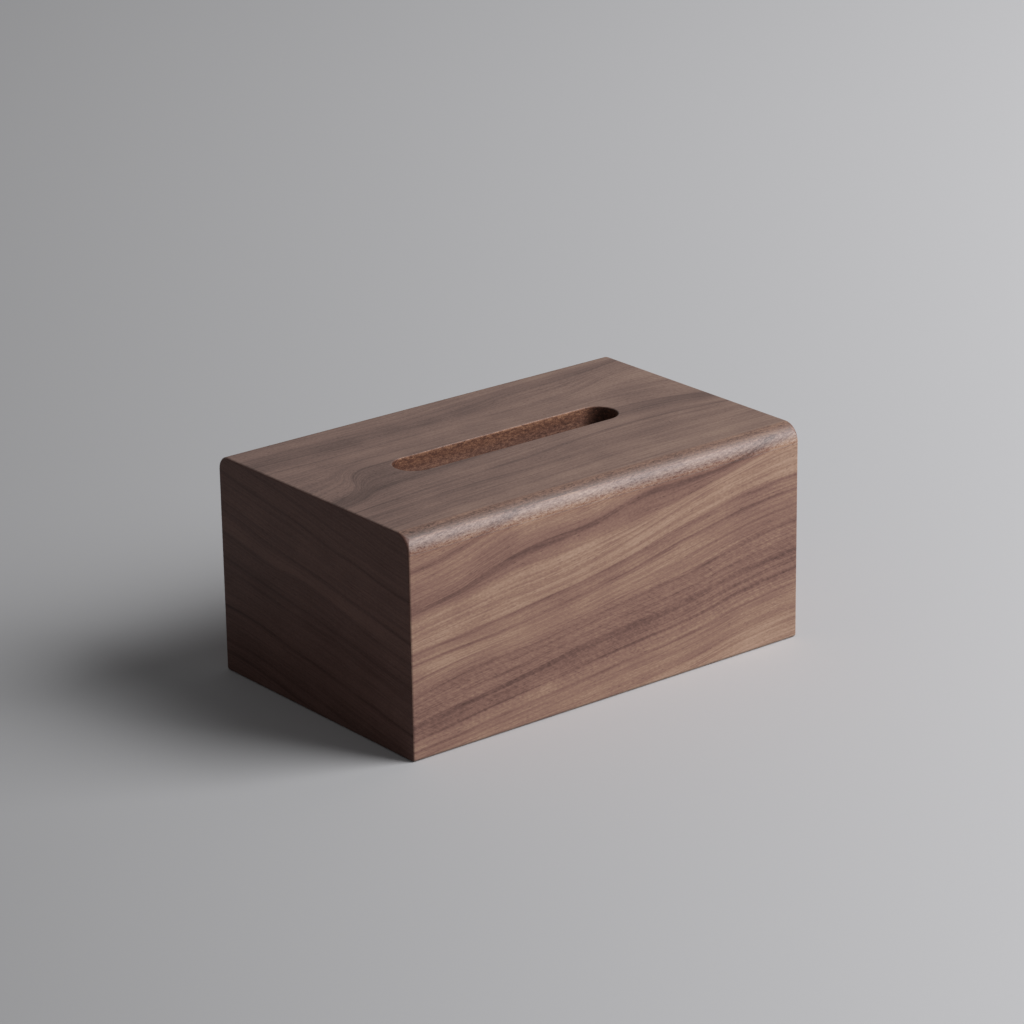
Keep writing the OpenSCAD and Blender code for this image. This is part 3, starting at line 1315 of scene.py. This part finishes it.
def top_figure() -> Figure:
    """Return the top board's figure: calm rings, with a swirl that turns down left of the slot."""
    return Figure(
        name="walnut_top",
        paths=(
            RingPath(16, ((0, 16), (40, 16), (80, 17), (120, 14), (150, 12), (215, 9))),
            RingPath(26, ((0, 25), (40, 26), (80, 26.5), (108, 26), (125, 23.5), (140, 19.5), (155, 17.5),
                          (175, 16.5), (195, 15), (215, 12))),
            RingPath(36, ((0, 36), (50, 36), (100, 36), (130, 38.5), (150, 38), (165, 36.5), (178, 33),
                          (190, 29), (205, 26), (215, 25))),
            RingPath(48, ((0, 50), (15, 49), (33, 47), (60, 47), (100, 46.5), (150, 49), (175, 46.5),
                          (195, 47.5), (215, 51))),
            RingPath(62, ((0, 84), (5, 82), (14, 78), (20, 73), (23, 67), (27, 61), (33, 57), (45, 55.5),
                          (110, 58), (150, 62), (170, 65), (185, 67), (200, 70), (215, 77))),
            RingPath(76, ((0, 90), (12, 87), (22, 82), (35, 79), (50, 77.5), (80, 75), (120, 73),
                          (150, 71.5), (172, 71.5), (190, 73), (205, 76.5), (215, 81))),
            RingPath(92, ((0, 98), (25, 95), (45, 93), (80, 91), (105, 89), (125, 86), (150, 84),
                          (175, 84), (200, 87), (215, 90))),
            RingPath(103, ((0, 106), (30, 104), (60, 102), (85, 102), (110, 101), (130, 99.5), (160, 98),
                           (215, 98))),
            RingPath(117, ((0, 123), (30, 119), (60, 117), (90, 115), (115, 113), (135, 112), (165, 113),
                           (215, 113))),
            RingPath(128, ((0, 133), (50, 129), (90, 127), (130, 126), (175, 125), (215, 126))),
        ),
        tones=(
            (5, 0.44), (14, 0.44), (17, 0.58), (21, 0.64), (25, 0.61), (29, 0.56), (33, 0.50), (40, 0.44),
            (47, 0.46), (56, 0.47), (60, 0.52), (63, 0.64), (70, 0.65), (76, 0.65), (79, 0.56), (82, 0.48),
            (88, 0.40), (93, 0.52), (97, 0.49), (101, 0.48), (104, 0.54), (109, 0.44), (114, 0.44),
            (118, 0.42), (121, 0.33), (125, 0.35), (130, 0.38), (140, 0.36),
        ),
        lines=(
            DarkLine(22, 1.5, 0.06), DarkLine(26, 1.4, 0.12), DarkLine(28.6, 0.8, 0.07),
            DarkLine(36, 0.9, 0.09), DarkLine(48, 1.0, 0.10), DarkLine(62, 1.1, 0.10),
            DarkLine(76.5, 1.3, 0.14), DarkLine(92.6, 1.2, 0.16), DarkLine(97, 0.8, 0.05),
            DarkLine(103, 1.2, 0.12), DarkLine(111, 0.8, 0.05), DarkLine(117.2, 1.1, 0.12),
            DarkLine(127.3, 0.9, 0.07),
        ),
        patches=(Patch(192, 77, 70, 16, 0.14), Patch(20, 84, 60, 16, 0.10), Patch(190, 50, 60, 30, 0.05)),
        fleck=0.2,
        shift=0.12,
        lean=-0.25,
        hue=0.507,
        saturation=0.94,
        contrast=1.2,
    )


def painted_shade_left_end_figure() -> Figure:
    """Return the left end board's figure: rings that fall towards the front, in wood painted dark all over and
    darker towards the bottom, as painted shade for this side away from the key light.
    """
    return Figure(
        name="walnut_left_end_painted_shade",
        paths=(
            RingPath(17, ((0, 7), (20, 10), (45, 13.5), (65, 17), (80, 20), (100, 23), (115, 26), (135, 29))),
            RingPath(34, ((0, 24.5), (20, 28), (35, 31), (60, 34), (75, 36), (95, 40), (120, 44), (135, 46.5))),
            RingPath(42, ((0, 34), (20, 37), (35, 39.5), (60, 41), (75, 43.5), (90, 47), (105, 50), (135, 55))),
            RingPath(55, ((0, 46.5), (20, 49), (35, 51), (50, 53), (65, 55), (80, 57.5), (100, 61), (135, 67))),
            RingPath(60, ((0, 51.5), (20, 54), (35, 56), (50, 58), (65, 60), (80, 62), (95, 65), (135, 72))),
            RingPath(76, ((0, 69), (20, 70), (35, 72), (50, 74.5), (65, 76.5), (80, 79), (95, 81.5), (135, 88))),
        ),
        tones=(
            (-15, 0.80), (6, 0.74), (14, 0.69), (20, 0.75), (26, 0.69), (32, 0.72), (36, 0.71), (40, 0.63),
            (44, 0.79), (50, 0.77), (56, 0.86), (64, 0.81), (71, 0.79), (78, 0.81), (82, 0.83), (87, 0.86),
            (94, 0.87), (98, 0.91), (110, 0.94),
        ),
        lines=(
            DarkLine(8, 1.0, 0.06), DarkLine(17, 1.2, 0.13), DarkLine(30, 1.0, 0.07), DarkLine(34, 1.2, 0.14),
            DarkLine(43, 1.1, 0.07), DarkLine(55, 1.3, 0.13), DarkLine(60, 1.1, 0.12), DarkLine(76, 1.3, 0.20),
            DarkLine(91.5, 1.2, 0.13), DarkLine(97.5, 1.3, 0.12),
        ),
        fleck=0.2,
        shift=0.04,
        contrast=0.75,
    )


def right_end_figure() -> Figure:
    """Return the figure of the right end board, which its strip on the base continues."""
    return Figure(
        name="walnut_right_end",
        paths=(
            RingPath(20, ((0, 31), (40, 26), (80, 18), (110, 14), (135, 12))),
            RingPath(50, ((0, 60), (35, 55), (80, 49), (110, 44), (135, 43))),
            RingPath(80, ((0, 89), (50, 84), (90, 77), (135, 74))),
        ),
        tones=(
            (-20, 0.44), (5, 0.46), (12, 0.56), (18, 0.62), (24, 0.50), (36, 0.46), (47, 0.58), (53, 0.64),
            (58, 0.52), (70, 0.44), (78, 0.58), (84, 0.52), (96, 0.44), (110, 0.50),
        ),
        lines=(
            DarkLine(8, 1.0, 0.10), DarkLine(18, 1.3, 0.16), DarkLine(28, 0.9, 0.08), DarkLine(37, 1.1, 0.14),
            DarkLine(47, 1.0, 0.12), DarkLine(53.5, 1.3, 0.18), DarkLine(64, 1.0, 0.12),
            DarkLine(71, 0.8, 0.08), DarkLine(79, 1.3, 0.18), DarkLine(88, 1.0, 0.10), DarkLine(99, 1.2, 0.14),
        ),
        fleck=0.3,
        redness=0.08,
    )


def back_figure() -> Figure:
    """Return the back board's figure: long rings that sink gently and one broad dark band."""
    return Figure(
        name="walnut_back",
        paths=(
            RingPath(20, ((0, 12), (45, 14), (90, 21), (130, 24), (175, 31), (215, 33))),
            RingPath(50, ((0, 40), (50, 42), (105, 51), (160, 58), (215, 60))),
            RingPath(75, ((0, 66), (70, 70), (140, 80), (215, 84))),
            RingPath(95, ((0, 90), (90, 94), (160, 100), (215, 104))),
        ),
        tones=(
            (-20, 0.30), (5, 0.34), (13, 0.46), (18, 0.56), (22, 0.42), (30, 0.34), (40, 0.40), (47, 0.52),
            (53, 0.62), (58, 0.46), (66, 0.32), (73, 0.46), (80, 0.40), (90, 0.28), (104, 0.38), (120, 0.28),
        ),
        lines=(
            DarkLine(10, 1.0, 0.14), DarkLine(18.5, 1.3, 0.22), DarkLine(26, 1.0, 0.12),
            DarkLine(36, 1.1, 0.16), DarkLine(42, 0.8, 0.08), DarkLine(47.5, 1.1, 0.18),
            DarkLine(54, 1.3, 0.26), DarkLine(61, 0.9, 0.12), DarkLine(72, 1.2, 0.22), DarkLine(77, 0.8, 0.10),
            DarkLine(84, 1.0, 0.16), DarkLine(97, 1.2, 0.20),
        ),
        fleck=0.3,
        fleck_rings=(44, 58),
        redness=0.08,
    )


def base_figure() -> Figure:
    """Return the base's figure: straight, even rings of a quarter-sawn board."""
    return Figure(
        name="walnut_base",
        paths=(
            RingPath(30, ((0, 31), (70, 29), (150, 30), (215, 27))),
            RingPath(70, ((0, 68), (90, 71), (160, 70), (215, 72))),
            RingPath(110, ((0, 111), (100, 109), (215, 108))),
        ),
        tones=(
            (0, 0.42), (14, 0.46), (22, 0.54), (30, 0.44), (44, 0.40), (52, 0.50), (66, 0.44), (80, 0.40),
            (90, 0.52), (104, 0.44), (118, 0.40), (135, 0.46),
        ),
        lines=(
            DarkLine(9, 0.9, 0.10), DarkLine(22, 1.1, 0.14), DarkLine(33, 0.9, 0.10), DarkLine(41, 0.9, 0.08),
            DarkLine(53, 1.1, 0.14), DarkLine(62, 0.8, 0.08), DarkLine(73, 1.0, 0.12), DarkLine(90, 1.2, 0.14),
            DarkLine(101, 0.9, 0.10), DarkLine(113, 1.0, 0.12), DarkLine(124, 0.9, 0.08),
        ),
        fleck=0.25,
    )


def new_material(name: str) -> tuple[bpy.types.Material, Graph]:
    """Return a new material and its empty node tree."""
    material = bpy.data.materials.new(name)
    material.use_nodes = True
    return material, Graph(material.node_tree)


@dataclass(frozen=True)
class BoardFinish:
    """Oiled walnut on a planed board, with cut fibres where a router has rounded its long edge. On that rounding
    the colour also carries a painted highlight, a greyed whitish band, and painted shade that darkens it across
    most of its turn.
    """

    figure: Figure
    frame: BoardFrame
    sizes: BoxSizes
    rounded: bool = False
    added_roughness: float = 0.0
    specular: float = 0.5
    # Darkness of the rounding: partly its cut fibres, partly painted shade.
    rounding_cut_and_shade_darkness: float = 0.2
    # How far the painted highlight greys the rounding's colour towards white.
    painted_highlight_greyness: float = 0.28
    rounding_contrast: float = 0.85
    rounding_redness: float = 0.16
    border_darkness: float = 0.6
    border_redness: float = 0.2
    rounding_roughness: float = 0.6
    rounding_coat: float = 0.86
    coat_range: tuple[float, float] = (0.45, 1.45)
    coat_roughness: float = 0.48
    rounding_raggedness: float = 0.55
    rounding_relief: float = 0.05

    def rounding(self, graph: Graph, groups: WoodGroups, position: Socket) -> dict[str, Socket]:
        """Return the masks of the two rounded long edges of the top.

        Args:
            graph: The material's nodes.
            groups: The shared node groups.
            position: Object coordinates.

        Returns:
            The mask, the border and how far a place lies round its edge, by name.
        """
        s = self.sizes
        zones = []
        for sign, radius in ((-1.0, s.front_edge_r), (1.0, s.back_edge_r)):
            out = graph.math("SUBTRACT", graph.dot(position, (0.0, sign, 0.0)), s.width / 2 - radius)
            up = graph.math("SUBTRACT", graph.dot(position, (0.0, 0.0, 1.0)), s.height - radius)
            parts = {"out": graph.math("DIVIDE", out, radius), "up": graph.math("DIVIDE", up, radius)}
            zones.append(graph.place(groups.rounding, **parts))
        first, second = zones
        joined = {label: graph.math("MAXIMUM", first[label], second[label]) for label in ("mask", "border")}
        turns = [graph.math("MULTIPLY", zone["turn"], zone["mask"]) for zone in zones]
        joined["turn"] = graph.math("MAXIMUM", *turns)
        return joined

    def build(self, groups: WoodGroups) -> bpy.types.Material:
        """Return the material.

        Args:
            groups: The shared node groups.

        Returns:
            The material, named after the figure.
        """
        figure = self.figure
        material, graph = new_material(figure.name)
        position = graph.node("ShaderNodeTexCoord").outputs["Object"]
        place = self.frame.millimetres(graph, position)
        along, across, inward = place
        drift = graph.noise(graph.stretched(place, figure.wander_scale), detail=2.0)
        sunk = graph.math("MULTIPLY_ADD", inward, figure.dip, across)
        row = graph.math("MULTIPLY_ADD", drift, figure.wander, sunk)
        ring = figure.ring_number(graph, groups, along, row)
        fleck = figure.fleck_share(graph, ring)
        grain = graph.place(groups.grain, along=along, ring=ring, depth=inward, fleck=fleck)
        broad = figure.darkness(graph, groups, place, ring)
        dark = graph.math("MULTIPLY_ADD", grain["darkness"], figure.contrast, broad)
        rough = graph.math("ADD", grain["roughness"], self.added_roughness)
        height = grain["height"]
        cut_share: Socket | float = figure.redness
        coat: Socket | float = 0.0
        saturation: Socket | float = figure.saturation
        if self.rounded:
            zone = self.rounding(graph, groups, position)
            mask = zone["mask"]
            torn = graph.place(groups.cut, along=along, across=across, up=inward)
            turn = zone["turn"]
            # Darker rounding, partly for its cut fibres and partly as painted shade that dims the light it
            # catches, so its highlight reads whiter. It rises over the first third of the turn and is gone before
            # the lower end.
            cut_and_shade_rise = graph.spread(turn, 0.0, 0.3, to=(0.0, self.rounding_cut_and_shade_darkness))
            deep = graph.math("MULTIPLY", cut_and_shade_rise, graph.spread(turn, 0.74, 0.95, to=FALLING))
            added = graph.math("MULTIPLY_ADD", torn["darkness"], self.rounding_contrast, deep)
            dark = graph.math("MULTIPLY_ADD", added, mask, dark)
            torn_rim = graph.math("MULTIPLY", zone["border"], graph.spread(torn["darkness"], 0.06, 0.33))
            dark = graph.math("MULTIPLY_ADD", torn_rim, self.border_darkness, dark)
            smoother = graph.math("SUBTRACT", self.rounding_roughness, rough)
            rough = graph.math("MULTIPLY_ADD", smoother, mask, rough)
            relief = graph.math("MULTIPLY", torn["height"], self.rounding_relief)
            height = graph.math("MULTIPLY_ADD", relief, mask, height)
            rim_red = graph.math("MULTIPLY", zone["border"], self.border_redness)
            red = graph.math("MULTIPLY_ADD", mask, self.rounding_redness, rim_red)
            cut_share = graph.math("ADD", red, figure.redness)
            least, most = (self.rounding_coat * share for share in self.coat_range)
            gloss = graph.spread(torn["darkness"], -0.28, 0.24, to=(most, least))
            ragged = graph.math("MULTIPLY_ADD", torn["darkness"], self.rounding_raggedness, turn)
            rise = graph.spread(ragged, 0.2, 0.75)
            fall = graph.spread(ragged, 0.78, 1.05, to=FALLING)
            # The band on the rounding that takes the coat and the painted highlight.
            coat_and_painted_highlight_band = graph.math("MULTIPLY", mask, fall)
            coat = graph.math("MULTIPLY", graph.math("MULTIPLY", coat_and_painted_highlight_band, gloss), rise)
            # Painted highlight: across that band the base colour is greyed towards white, so the highlight reads
            # whiter.
            painted_highlight_white = graph.math("MULTIPLY", coat_and_painted_highlight_band, graph.spread(turn, 0.4, 0.6))
            saturation = graph.math("MULTIPLY_ADD", painted_highlight_white, -self.painted_highlight_greyness, figure.saturation)
        shader = graph.node("ShaderNodeBsdfPrincipled")
        values = {"darkness": dark, "cut": cut_share, "hue": figure.hue, "saturation": saturation}
        colour = graph.place(groups.colour, **values)["color"]
        graph.feed(shader.inputs["Base Color"], colour)
        graph.feed(shader.inputs["Roughness"], rough)
        graph.feed(shader.inputs["Coat Weight"], coat)
        shader.inputs["Coat Roughness"].default_value = self.coat_roughness
        shader.inputs["Specular IOR Level"].default_value = self.specular
        graph.feed(shader.inputs["Normal"], raised(graph, height))
        graph.feed(graph.node("ShaderNodeOutputMaterial").inputs["Surface"], shader.outputs[0])
        return material


def raised(graph: Graph, height: Socket) -> Socket:
    """Turn a height in millimetres into a bumped normal."""
    bump = graph.node("ShaderNodeBump")
    bump.inputs["Strength"].default_value = 1.0
    bump.inputs["Distance"].default_value = MM
    graph.feed(bump.inputs["Height"], height)
    return bump.outputs[0]


@dataclass(frozen=True)
class RoutedWallFinish:
    """Walnut that a router has cut through: redder, coarser and rougher than the planed faces. Its round ends are
    darkened, partly as painted shade, and its top rim paled, partly as a painted highlight.
    """

    name: str = "walnut_routed"
    top_mm: float = 100.0
    darkness: float = 0.68
    contrast: float = 1.5
    layer_scale: Triple = (0.03, 0.3, 0.75)
    layer_strength: float = 0.7
    rim_depth_mm: float = 1.9
    rim_raggedness_mm: float = 5.0
    # Negative darkness of the rim band: partly torn fibres, partly a painted highlight.
    rim_torn_and_highlight_darkness: float = -0.16
    end_from_mm: float = 50.0
    end_depth_mm: float = 8.0
    # Darkness of the slot's round ends: partly end grain, partly painted shade.
    end_grain_and_shade_darkness: float = 0.45
    fade_depth_mm: float = 5.5
    fade_redness: float = 0.55
    roughness: float = 0.62
    relief: float = 0.04

    def build(self, groups: WoodGroups) -> bpy.types.Material:
        """Return the material.

        Args:
            groups: The shared node groups.

        Returns:
            The material.
        """
        material, graph = new_material(self.name)
        position = graph.node("ShaderNodeTexCoord").outputs["Object"]
        axes = ((1.0, 0.0, 0.0), (0.0, 1.0, 0.0), (0.0, 0.0, 1.0))
        place = [graph.dot(position, Vector(axis) / MM) for axis in axes]
        torn = graph.place(groups.cut, along=place[0], across=place[1], up=place[2])
        layers = graph.noise(graph.stretched(place, self.layer_scale), detail=3.0, roughness=0.6)
        dark = graph.math("MULTIPLY_ADD", torn["darkness"], self.contrast, self.darkness)
        dark = graph.math("MULTIPLY_ADD", layers, self.layer_strength, dark)
        depth = graph.math("SUBTRACT", self.top_mm, place[2])
        # Paler ragged band along the top of the wall: partly torn fibres, partly a painted highlight of the lit
        # rim.
        ragged = graph.math("MULTIPLY_ADD", torn["darkness"], self.rim_raggedness_mm, depth)
        rim = graph.spread(ragged, 0.4 * self.rim_depth_mm, self.rim_depth_mm, to=(self.rim_torn_and_highlight_darkness, 0.0))
        # Both round ends of the slot are painted darker: partly the darker end grain the router leaves, partly
        # painted shade for the end that faces away from the key light.
        far = graph.math("SUBTRACT", graph.math("ABSOLUTE", place[0]), self.end_from_mm)
        end_grain_and_painted_shade = graph.spread(far, 0.0, self.end_depth_mm, to=(0.0, self.end_grain_and_shade_darkness))
        dark = graph.total([dark, rim, end_grain_and_painted_shade])
        begins, ends = 0.5 * self.fade_depth_mm, 1.5 * self.fade_depth_mm
        cut_share = graph.spread(depth, begins, ends, to=(1.0, self.fade_redness))
        shader = graph.node("ShaderNodeBsdfPrincipled")
        graph.feed(shader.inputs["Base Color"], graph.place(groups.colour, darkness=dark, cut=cut_share)["color"])
        graph.feed(shader.inputs["Roughness"], graph.math("MULTIPLY_ADD", torn["darkness"], 0.5, self.roughness))
        graph.feed(shader.inputs["Normal"], raised(graph, graph.math("MULTIPLY", torn["height"], self.relief)))
        graph.feed(graph.node("ShaderNodeOutputMaterial").inputs["Surface"], shader.outputs[0])
        return material


def seen_share(graph: Graph) -> Socket:
    """Return 1 for rays that see the studio, directly, mirrored or through glass, and 0 for the rest."""
    ray = graph.node("ShaderNodeLightPath")
    seen = graph.total([ray.outputs[f"Is {kind} Ray"] for kind in ("Camera", "Glossy", "Transmission")])
    return graph.math("MINIMUM", seen, 1.0)


@dataclass(frozen=True)
class Studio:
    """Camera, floor and soft light."""

    lens_mm: float = 136.75
    camera_place: tuple[float, float, float] = (-0.99399, -1.25027, 0.64913)
    camera_turn_deg: tuple[float, float, float] = (69.952, 0.814, -38.786)
    key_azimuth_deg: float = -44.5
    key_elevation_deg: float = 39.0
    key_distance: float = 5.6
    key_size: float = 3.7
    key_power: float = 317.0
    world_strength: float = 0.15
    room_brightness: float = 0.36
    # Painted light on the floor: the paper tones and grades below stand for the key light's falloff.
    paper_painted_shade_tone: float = 0.35
    paper_painted_lit_tone: float = 0.82
    paper_painted_light_fan: float = 0.56
    paper_painted_light_half_width: float = 0.45
    paper_bounce: float = 0.42
    paper_tint: tuple[float, float, float] = (1.0, 1.0, 1.025)
    paper_painted_light_near: float = 1.03
    paper_painted_light_far: float = 1.1
    paper_painted_light_depth: tuple[float, float] = (-0.4, 1.15)

    def place_camera(self) -> None:
        """Set the camera at the photograph's viewing angle."""
        data = bpy.data.cameras.new("camera")
        data.lens = self.lens_mm
        data.sensor_width = 36.0
        data.clip_start = 0.01
        camera = bpy.data.objects.new("camera", data)
        camera.location = self.camera_place
        camera.rotation_euler = [math.radians(angle) for angle in self.camera_turn_deg]
        bpy.context.scene.collection.objects.link(camera)
        bpy.context.scene.camera = camera

    def add_key_lamp(self) -> None:
        """Add the square soft lamp, which faces the middle of the box."""
        azimuth = math.radians(self.key_azimuth_deg)
        elevation = math.radians(self.key_elevation_deg)
        flat = math.cos(elevation)
        direction = Vector((math.cos(azimuth) * flat, math.sin(azimuth) * flat, math.sin(elevation)))
        data = bpy.data.lights.new("key", "AREA")
        data.shape = "SQUARE"
        data.size = self.key_size
        data.energy = self.key_power
        lamp = bpy.data.objects.new("key", data)
        lamp.location = direction * self.key_distance
        lamp.rotation_euler = direction.to_track_quat("Z", "Y").to_euler()
        bpy.context.scene.collection.objects.link(lamp)

    def paper(self) -> bpy.types.Material:
        """Return the matt paper of the floor, with the key light's falloff painted into its colour: painted shade
        on the side away from the key light and painted light further back.
        """
        paper, graph = new_material("studio_paper")
        place = graph.node("ShaderNodeTexCoord").outputs["Object"]
        turn = math.radians(self.camera_turn_deg[2])
        away = graph.dot(place, (-math.sin(turn), math.cos(turn), 0.0))
        widening = graph.math("MAXIMUM", graph.math("MULTIPLY_ADD", away, self.paper_painted_light_fan, 1.0), 0.5)
        across = graph.math("DIVIDE", graph.dot(place, (math.cos(turn), math.sin(turn), 0.0)), widening)
        reach = self.paper_painted_light_half_width
        # Painted light falloff: dark on the side away from the key light, pale on its side, the grade widening
        # further back.
        grey = graph.spread(across, -reach, reach, to=(self.paper_painted_shade_tone, self.paper_painted_lit_tone), even=True)
        # Painted light: the paper is made paler further back.
        depth = graph.spread(away, *self.paper_painted_light_depth, to=(self.paper_painted_light_near, self.paper_painted_light_far))
        share = graph.math("MULTIPLY_ADD", seen_share(graph), 1.0 - self.paper_bounce, self.paper_bounce)
        tone = graph.math("MULTIPLY", grey, graph.math("MULTIPLY", share, depth))
        shader = graph.node("ShaderNodeBsdfPrincipled")
        colour = graph.node("ShaderNodeCombineColor")
        for index, tint in enumerate(self.paper_tint):
            graph.feed(colour.inputs[index], graph.math("MULTIPLY", tone, tint))
        graph.feed(shader.inputs["Base Color"], colour.outputs[0])
        shader.inputs["Roughness"].default_value = 0.9
        shader.inputs["Specular IOR Level"].default_value = 0.2
        graph.feed(graph.node("ShaderNodeOutputMaterial").inputs["Surface"], shader.outputs[0])
        return paper

    def build(self) -> None:
        """Set camera, floor, lamps and world."""
        self.place_camera()
        self.add_key_lamp()
        bpy.ops.object.select_all(action="DESELECT")
        bpy.ops.mesh.primitive_plane_add(size=12.0)
        floor = bpy.context.object
        floor.name = "floor"
        paint = self.paper()
        floor.data.materials.append(paint)
        floor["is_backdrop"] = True
        world = bpy.data.worlds.new("world")
        world.use_nodes = True
        graph = Graph(world.node_tree)
        background = graph.node("ShaderNodeBackground")
        extra = self.room_brightness - self.world_strength
        strength = graph.math("MULTIPLY_ADD", seen_share(graph), extra, self.world_strength)
        graph.feed(background.inputs["Strength"], strength)
        graph.feed(graph.node("ShaderNodeOutputWorld").inputs["Surface"], background.outputs[0])
        bpy.context.scene.world = world
        bpy.context.scene.view_settings.view_transform = "Standard"


def pick_faces(obj: bpy.types.Object, wanted: Callable[[Vector, Vector], bool], slot: int) -> None:
    """Give the faces that pass a test another of the object's materials.

    Args:
        obj: The mesh object.
        wanted: Takes a face's middle and its normal.
        slot: The material's place in the object's list.
    """
    for polygon in obj.data.polygons:
        if wanted(polygon.center, polygon.normal):
            polygon.material_index = slot


@dataclass
class Dresser:
    """Gives every piece its finish."""

    sizes: BoxSizes
    groups: WoodGroups = field(default_factory=WoodGroups)

    def board(self, side: Side, figure: Figure, **options: object) -> bpy.types.Material:
        """Return the finish of the board on a side."""
        frame = BoardFrame.on_side(side, self.sizes)
        return BoardFinish(figure, frame, self.sizes, **options).build(self.groups)

    def dress(self, pieces: dict[str, bpy.types.Object]) -> None:
        """Put the finishes on the pieces.

        Args:
            pieces: The objects by the name of the node that each replaces.
        """
        right_end = self.board(Side.RIGHT, right_end_figure())
        finishes = {
            "top_panel": self.board(Side.TOP, top_figure(), rounded=True, specular=0.7),
            "front_panel": self.board(Side.FRONT, front_figure(), rounded=True),
            "back_panel": self.board(Side.BACK, back_figure(), rounded=True),
            # The left end's dark colour is painted shade.
            "left_end_panel": self.board(Side.LEFT, painted_shade_left_end_figure(), specular=0.2),
            "right_end_panel": right_end,
            "base_panel": self.board(Side.TOP, base_figure(), added_roughness=0.14),
            "base_end_strip": right_end,
        }
        for node, finish in finishes.items():
            materials = pieces[node].data.materials
            materials.clear()
            materials.append(finish)
        routed = RoutedWallFinish(top_mm=self.sizes.height / MM).build(self.groups)
        pieces["top_panel"].data.materials.append(routed)
        pieces["base_panel"].data.materials.append(routed)
        pick_faces(pieces["top_panel"], self.in_slot, 1)
        pick_faces(pieces["base_panel"], self.in_recess, 1)

    def in_slot(self, centre: Vector, normal: Vector) -> bool:
        """Say whether a face belongs to the wall of the slot."""
        s = self.sizes
        beyond = max(abs(centre.x) - (s.slot_length - s.slot_width) / 2, 0.0)
        off = math.hypot(beyond, centre.y - s.slot_back)
        return off < s.slot_width / 2 + s.slot_rim_r and abs(normal.z) < 0.7

    def in_recess(self, centre: Vector, normal: Vector) -> bool:
        """Say whether a face belongs to the finger recess."""
        s = self.sizes
        low = s.base_low.z
        in_depth = low + 1e-5 < centre.z < low + s.recess_depth + 1e-5
        return in_depth and centre.x > 0 and abs(centre.y) < s.recess_length / 2 + MM


def main() -> None:
    """Build the box and report each piece."""
    logging.basicConfig(level=logging.INFO, format="%(name)s: %(message)s")
    sizes = BoxSizes()
    Studio().build()
    carcass = Carcass(sizes)
    carcass.build()
    base = SlidingBase(sizes, carcass)
    base.build()
    Dresser(sizes).dress(carcass.pieces | base.pieces)
    for body, owner in (("case", carcass), ("sliding_base", base)):
        for node, piece in owner.pieces.items():
            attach(piece, body)
            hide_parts(node)
            LOG.info("%s: %d faces, rides on %s", piece.name, len(piece.data.polygons), body)


if __name__ == "__main__":
    main()
